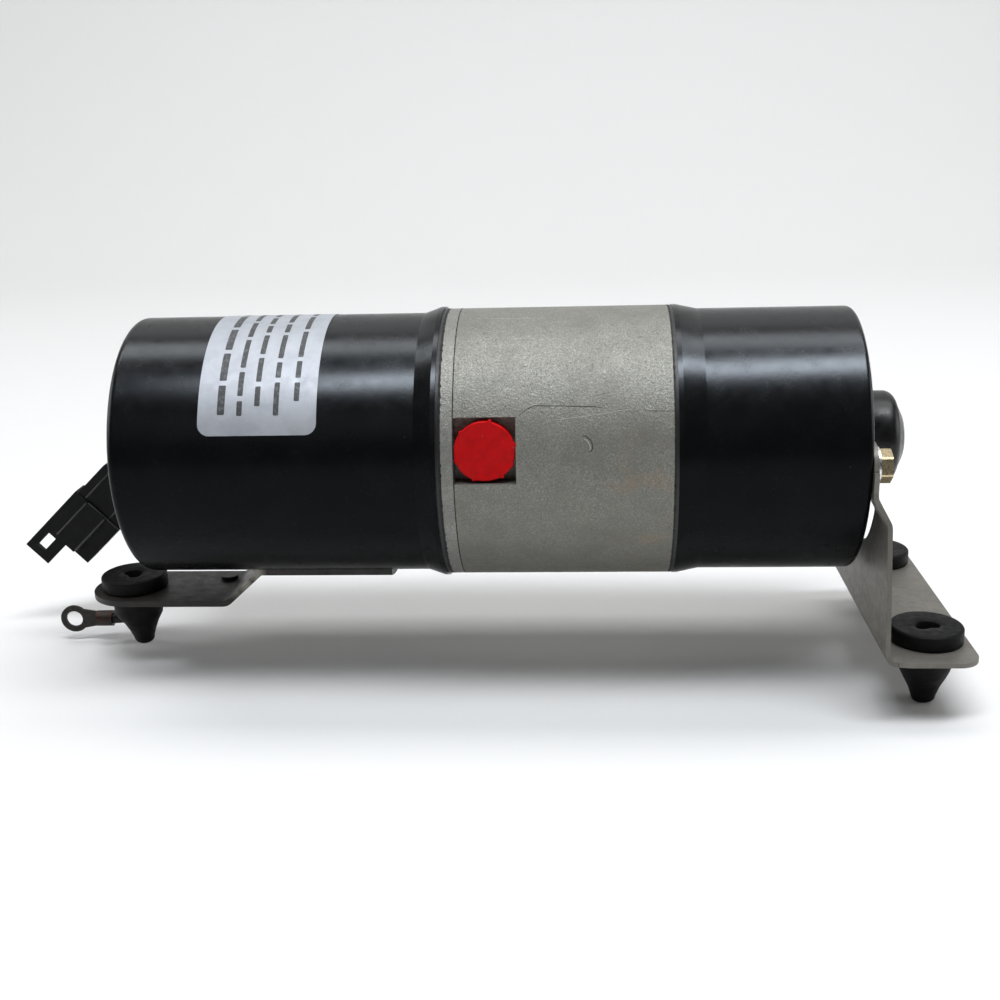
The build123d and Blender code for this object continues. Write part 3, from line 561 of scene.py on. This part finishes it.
def add_cap(node, side):
    low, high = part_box(node)
    face = -low.y / MM if side < 0 else high.y / MM
    back = high.y / MM if side < 0 else low.y / MM
    depth = face - abs(back)

    def place(a, b, h):
        return at(port_x + a, side * (face + h), port_z + b)

    def shape(radius, height, angle):
        if radius > CAP_R - 1.2 and height > -1.2:
            radius += wobble(angle, (0.05, 0.07, 0.04, 0.03), 1.0) * (radius > CAP_R - 0.5)
            for middle, reach in CAP_TABS:
                off = (math.degrees(angle) - middle + 180) % 360 - 180
                radius += reach * math.exp(-(off / 3.4) ** 2) * (height > -0.9)
        elif height > -0.6:
            height += 0.06 * math.sin(2 * angle + 0.6) + 0.04 * math.sin(5 * angle + radius)
        return radius, height

    face_points = [(0, -0.18), (3.0, -0.16), (6.0, -0.12), (7.8, -0.1), (8.6, -0.02)]
    rim = arc((CAP_R - 0.4, -0.4), 0.4, 90, 0, 4) + [(CAP_R, -0.85), (CAP_R - 0.15, -1.3)]
    skirt = [(9.05, -1.5), (9.05, -depth), (7.6, -depth), (7.55, -2.3), (0, -2.3)]
    mesh = lathe(face_points + rim + skirt, place, segments=144, shape=shape)
    obj = piece(node + "_moulded", mesh, materials["red_cap"], node, "red_cap", node)
    smooth(obj)


# Label, and bars in place of its print
LABEL_X = (-75.1, -37.9)
LABEL_FROM, LABEL_TO = 17.8, 128.0
LABEL_CORNER = 3.6


def wrapped(mesh, x0, x1, angle0, angle1, radius, corner, rows):
    """Rounded oblong on a cylinder about the axis; angles in degrees up from the front."""
    length = math.radians(angle1 - angle0) * radius
    ends = [corner * (1 - math.cos(math.radians(a))) for a in range(0, 91, 15)]
    steps = ends + [corner + (length - 2 * corner) * k / rows for k in range(1, rows)]
    steps += [length - s for s in reversed(ends)]
    columns = 6
    grid = []
    for s in steps:
        near = min(s, length - s)
        inset = 0 if near >= corner else corner - math.sqrt(max(0, corner**2 - (corner - near) ** 2))
        angle = math.radians(angle0) + s / radius
        row = []
        for k in range(columns + 1):
            x = x0 + inset + (x1 - x0 - 2 * inset) * k / columns
            row.append(mesh.verts.new(at(x, -radius * math.cos(angle), radius * math.sin(angle))))
        grid.append(row)
    for a, b in zip(grid, grid[1:]):
        for k in range(columns):
            mesh.faces.new((a[k], a[k + 1], b[k + 1], b[k]))


def add_label():
    mesh = bmesh.new()
    wrapped(mesh, *LABEL_X, LABEL_FROM, LABEL_TO, can_r + 0.1, LABEL_CORNER, 60)
    obj = piece("label_sheet", mesh, materials["label_foil"], "unit", "label_foil", "label")
    thick = obj.modifiers.new("thickness", "SOLIDIFY")
    thick.thickness = 0.09 * MM
    thick.offset = 0
    smooth(obj)


def add_print():
    """Five columns of blank bars, as long and as thick as lines of print would be."""
    draw = random.Random(5)
    mesh = bmesh.new()
    columns = ((-69.0, 2.3, 26.5), (-62.9, 1.7, 26), (-57.4, 1.7, 30), (-51.4, 1.7, 26), (-45.1, 1.7, 32))
    for x, height, start in columns:
        angle = start
        while angle < LABEL_TO - 12:
            word = draw.uniform(6, 17)
            wrapped(mesh, x, x + height, angle, min(angle + word, LABEL_TO - 6), can_r + 0.17, 0.35, 10)
            angle += word + 2.2
    smooth(piece("label_print", mesh, printed_ink(), "unit", "label_foil"))


# Casting marks on the pump body: thin ridges and nicks that stand on its skin; the dark ridges are painted shadow,
# and the light ones carry the ear mark's painted highlight.
def ridge(mesh, points, width, height, radius):
    """A low ridge along (x, angle) points on a cylinder about the axis."""
    rows = []
    for k, (x, angle) in enumerate(points):
        end = k in (0, len(points) - 1)
        before, after = points[max(k - 1, 0)], points[min(k + 1, len(points) - 1)]
        along = Vector((after[0] - before[0], math.radians(after[1] - before[1]) * radius)).normalized()
        half = 0.15 * width if end else width / 2
        row = []
        for side, lift in ((-1, -0.06), (-0.3, height), (0.3, height), (1, -0.06)):
            turn = math.radians(angle) + side * half * along.x / radius
            out = radius + (lift if not end or lift < 0 else 0.02)
            place = at(x - side * half * along.y, -out * math.cos(turn), out * math.sin(turn))
            row.append(mesh.verts.new(place))
        rows.append(row)
    for a, b in zip(rows, rows[1:]):
        for k in range(3):
            mesh.faces.new((a[k], a[k + 1], b[k + 1], b[k]))
        mesh.faces.new((a[3], a[0], b[0], b[3]))
    mesh.faces.new(rows[0])
    mesh.faces.new(rows[-1])


PARTING_LINE = ((23.8, 23.4), (26.5, 26.5), (28.9, 28.3), (33.0, 28.2), (38.0, 28.1), (47.3, 27.6), (50.0, 27.2))
PARTING_END = ((62.6, 25.8), (66.0, 25.6), (71.6, 25.5))
FLASH_LINE = ((34.0, 22.2), (38.0, 22.8), (43.1, 23.5), (47.0, 24.2), (51.5, 24.9), (55.0, 25.8), (59.5, 26.4))
NICKS = (((20.8, 45.3), (22.4, 44.3)), ((24.0, 45.9), (26.4, 45.6), (28.2, 45.0)), ((30.5, 45.2), (31.6, 44.4)),
         ((33.1, 19.0), (34.3, 20.8)), ((37.6, 13.2), (39.4, 14.4)), ((55.6, 24.2), (58.4, 24.7)),
         ((12.0, 33.0), (17.5, 32.4), (21.0, 32.2)), ((9.6, 76.6), (20.0, 76.0), (36.9, 75.6)),
         ((8.0, 40.5), (9.0, 42.0)), ((41.0, -4.0), (48.0, -4.6)), ((24.5, -12.0), (30.5, -12.6)))
EAR_MARK = ((43.7, 16.2), (44.6, 16.1), (45.4, 15.4), (46.1, 14.6), (46.6, 13.4), (46.8, 12.1), (46.7, 10.9),
            (46.2, 10.1), (45.5, 10.0))


def seam_ring(mesh, x, width, radius, rough):
    """A thin dark line round a joint, as wide as it is uneven."""
    draw = random.Random(round(x))
    rings = []
    for k in range(360):
        angle = 2 * math.pi * k / 360
        nick = rough * draw.random() ** 4
        row = []
        for side, out in ((-1, -0.25), (-1, 0), (1, 0), (1, -0.25)):
            across = x + side * width / 2 + (nick if side > 0 else -0.5 * nick)
            reach = radius + out
            row.append(mesh.verts.new(at(across, reach * math.cos(angle), reach * math.sin(angle))))
        rings.append(row)
    for a, b in zip(rings, rings[1:] + rings[:1]):
        for k in range(4):
            mesh.faces.new((a[k], a[(k + 1) % 4], b[(k + 1) % 4], b[k]))


def add_seams():
    """One line at each end of the adapter plate and one at the reservoir's gasket."""
    plate_end = from_flange(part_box("adapter_plate")[1].x)
    gasket_start = from_flange(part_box("reservoir_gasket")[0].x)
    mesh = bmesh.new()
    seams = ((plate_end, 0.3, 0.025, 0.12), (0.1, 0.7, 0.03, 0.35), (gasket_start, 0.5, 0.03, 0.3))
    for x, width, lift, rough in seams:
        seam_ring(mesh, x, width, body_r + lift, rough)
    smooth(piece("joint_lines", mesh, plain("joint_shadow", (0.004, 0.004, 0.004), 0.7), "unit", "gasket"), 60)


def add_casting_marks():
    dark = bmesh.new()
    for line in (PARTING_LINE, PARTING_END):
        ridge(dark, line, 0.42, 0.035, body_r)
    ridge(dark, EAR_MARK, 0.5, 0.04, body_r)
    # Painted shadow: the parting line and the ear mark drawn as dark lines, standing in for the shade beside their
    # low ridges.
    shadow_line = plain("parting_line_shadow", (0.02, 0.019, 0.017), 0.8)
    smooth(piece("parting_line", dark, shadow_line, "unit", "cast_aluminium"), 80)
    light = bmesh.new()
    for line in (FLASH_LINE,) + NICKS:
        ridge(light, line, 0.34, 0.07, body_r)
    # Painted highlight: a light copy of the ear mark, just inside its dark line.
    ridge(light, [(x - 0.7, a - 0.8) for x, a in EAR_MARK[1:7]], 0.5, 0.12, body_r)
    # Light flash and nicks in their own metal colour, with the ear mark's painted highlight.
    flash_and_highlight = plain("casting_flash_and_highlight", (0.33, 0.315, 0.29), 0.6)
    smooth(piece("casting_marks", light, flash_and_highlight, "unit", "cast_aluminium"), 80)


# Cords: the route points are those of part.py
CONNECTOR_TIP = (-166.5, 25.0, -45.1)
CONNECTOR_TILT = 43.5
HOUSING_END, LEAD_END, LEAD_DEPTH = 47.5, 38.0, 5.2
LEAD_R, EARTH_R = 1.6, 2.0
UPPER_LEAD = [(-103.5, 26.5, -6.6), (-108.4, 26.5, -6.6), (-114.2, 27.4, -7.5), (-119.9, 28.9, -10.3)]
LOWER_LEAD = [(-103.5, 26.5, -12.8), (-107.8, 26.5, -12.8), (-112.1, 27.4, -14.0), (-115.7, 28.8, -16.9)]
EARTH_LEAD = [(-94.2, 8.0, -56.9), (-100.6, 8.0, -56.9), (-107.2, 9.8, -59.0), (-113.2, 11.7, -62.8),
              (-119.3, 12.4, -66.9)]
EYE_CENTRE = (-145.0, 11.4, -69.3)
EYE_TURN = 2.0
EYE_BARREL = 14.5
EYE_STRAIGHT = 5.5
CELLS = (5.6, 15.4)
BEAD_SIDES = 10


def in_connector(along, across, depth):
    """A place in the connector's own frame, as part.py has it."""
    tilt = math.radians(CONNECTOR_TILT)
    x, y, z = CONNECTOR_TIP
    return (x + along * math.cos(tilt) + across * math.sin(tilt), y + depth,
            z + along * math.sin(tilt) - across * math.cos(tilt))


def bead(mesh, start, end, radius):
    """A thin round bead between two places, tapered at its ends."""
    start, end = at(*start), at(*end)
    along = (end - start).normalized()
    side = along.cross(Vector((0, 0, 1))).normalized()
    up = side.cross(along)
    rings = []
    for share, grow in ((0, 0.3), (0.03, 1), (0.97, 1), (1, 0.3)):
        middle = start + (end - start) * share
        ring = []
        for k in range(BEAD_SIDES):
            angle = 2 * math.pi * k / BEAD_SIDES
            out = side * math.cos(angle) + up * math.sin(angle)
            ring.append(mesh.verts.new(middle + out * radius * grow * MM))
        rings.append(ring)
    for a, b in zip(rings, rings[1:]):
        for k in range(BEAD_SIDES):
            after = (k + 1) % BEAD_SIDES
            mesh.faces.new((a[k], a[after], b[after], b[k]))
    mesh.faces.new(rings[0])
    mesh.faces.new(rings[-1])


def add_connector_ridges():
    """Moulded ridges on the latch side, their tops painted lighter as a highlight."""
    mesh = bmesh.new()
    for across, radius in ((5.9, 0.4), (14.8, 0.5)):
        bead(mesh, in_connector(11.8, across, 0.3), in_connector(30.0, across, 0.3), radius)
    for across in (4.4, 15.8):
        bead(mesh, in_connector(30.4, across, 1.5), in_connector(46.0, across, 1.5), 0.4)
    bead(mesh, in_connector(30.2, 6.2, 0.4), in_connector(30.2, 20.8, 1.1), 0.3)
    # Painted highlight: the ridges' lighter grey stands in for light on their edges.
    ridge_highlight = plain("ridge_highlight_nylon", (0.03, 0.03, 0.028), 0.5)
    smooth(piece("connector_ridges", mesh, ridge_highlight, "unit", "black_nylon"))


def on_eye(x):
    turn = math.radians(EYE_TURN)
    return (EYE_CENTRE[0] + x * math.cos(turn), EYE_CENTRE[1] + x * math.sin(turn), EYE_CENTRE[2])


def add_cord(name, route, radius):
    """A smooth lead along its route's points, in place of its CAD tube."""
    curve = bpy.data.curves.new(name, "CURVE")
    curve.dimensions = "3D"
    curve.bevel_depth = radius * MM
    curve.bevel_resolution = 8
    curve.resolution_u = 12
    curve.use_fill_caps = True
    spline = curve.splines.new("NURBS")
    spline.points.add(len(route) - 1)
    for point, place in zip(spline.points, route):
        point.co = (*at(*place), 1)
    spline.order_u = 3
    spline.use_endpoint_u = True
    obj = piece(name + "_cover", curve, materials["lead_cover"], "unit", "lead_cover", name)


def add_cords():
    power = (("power_lead_upper", UPPER_LEAD, CELLS[0], 37.3), ("power_lead_lower", LOWER_LEAD, CELLS[1], 32.1))
    for name, route, cell, length in power:
        end = [in_connector(x, cell, LEAD_DEPTH) for x in (HOUSING_END + 4, LEAD_END)]
        add_cord(name, route + end, LEAD_R)
    earth = EARTH_LEAD + [on_eye(EYE_BARREL + EYE_STRAIGHT), on_eye(EYE_BARREL)]
    add_cord("earth_lead", earth, EARTH_R)


# Stage and light
def add_stage():
    mesh = bmesh.new()
    back, bend, top, half = 1.5, 0.5, 2.4, 4.0
    outline = [(-4.0, 0.0), (back - bend, 0.0)]
    for k in range(1, 13):
        angle = math.radians(90 * k / 12)
        outline.append((back - bend + bend * math.sin(angle), bend - bend * math.cos(angle)))
    outline.append((back, top))
    rows = [[mesh.verts.new((x, y, z)) for x in (-half, half)] for y, z in outline]
    for a, b in zip(rows, rows[1:]):
        mesh.faces.new((a[0], a[1], b[1], b[0])).smooth = True
    data = bpy.data.meshes.new("floor")
    mesh.to_mesh(data)
    mesh.free()
    data.materials.append(floor_paper())
    floor = bpy.data.objects.new("floor", data)
    bpy.context.collection.objects.link(floor)


def add_light(name, place, size, aim, power, tone=(1, 1, 1)):
    data = bpy.data.lights.new(name, "AREA")
    data.shape = "RECTANGLE"
    data.size, data.size_y = size
    data.energy = power
    data.color = tone
    lamp = bpy.data.objects.new(name, data)
    place, aim = Vector(place), Vector(aim)
    lamp.matrix_world = Matrix.Translation(place) @ (aim - place).to_track_quat("-Z", "Y").to_matrix().to_4x4()
    bpy.context.collection.objects.link(lamp)


def add_lights():
    middle = (0, 0, 0.08)
    add_light("overhead_softbox", (0.12, -0.3, 1.1), (1.05, 0.24), middle, 12.5, (0.93, 0.96, 1.0))
    add_light("backdrop_wash", (0, 0.6, 2.1), (3.4, 0.8), (0, 1.4, 0.3), 34)
    add_light("left_fill", (-1.6, 0, 0.5), (1.2, 0.8), (0, 0, 0), 6.5)
    add_light("right_fill", (1.6, 0, 0.5), (1.2, 0.8), (0, 0, 0), 6.5)
    add_light("front_fill", (-0.3, -1.6, 0.9), (1.0, 0.7), middle, 0.6)
    world = bpy.data.worlds.new("world")
    world.use_nodes = True
    backdrop = world.node_tree.nodes["Background"]
    backdrop.inputs["Color"].default_value = (0.9, 0.92, 0.95, 1)
    seen = world.node_tree.nodes.new("ShaderNodeLightPath")
    strength = world.node_tree.nodes.new("ShaderNodeMath")
    strength.operation = "MULTIPLY_ADD"
    strength.inputs[1].default_value, strength.inputs[2].default_value = 0.7, 0.06
    world.node_tree.links.new(seen.outputs["Is Camera Ray"], strength.inputs[0])
    world.node_tree.links.new(strength.outputs["Value"], backdrop.inputs["Strength"])
    bpy.context.scene.world = world
    bpy.context.scene.view_settings.view_transform = "Standard"


add_camera()
paint_nodes()
add_cords()
add_mount("rubber_mount_front", 0.9, 0.3)
add_mount("rubber_mount_rear", 2.3, -0.4)
add_mount("rubber_mount_motor", 3.7, 1.2)
add_plug()
add_connector_ridges()
add_cap("port_cap_front", -1)
add_cap("port_cap_rear", 1)
add_label()
add_print()
add_casting_marks()
add_seams()
for node, width in EDGE_WIDTHS:
    round_edges(node, width)
add_stage()
add_lights()
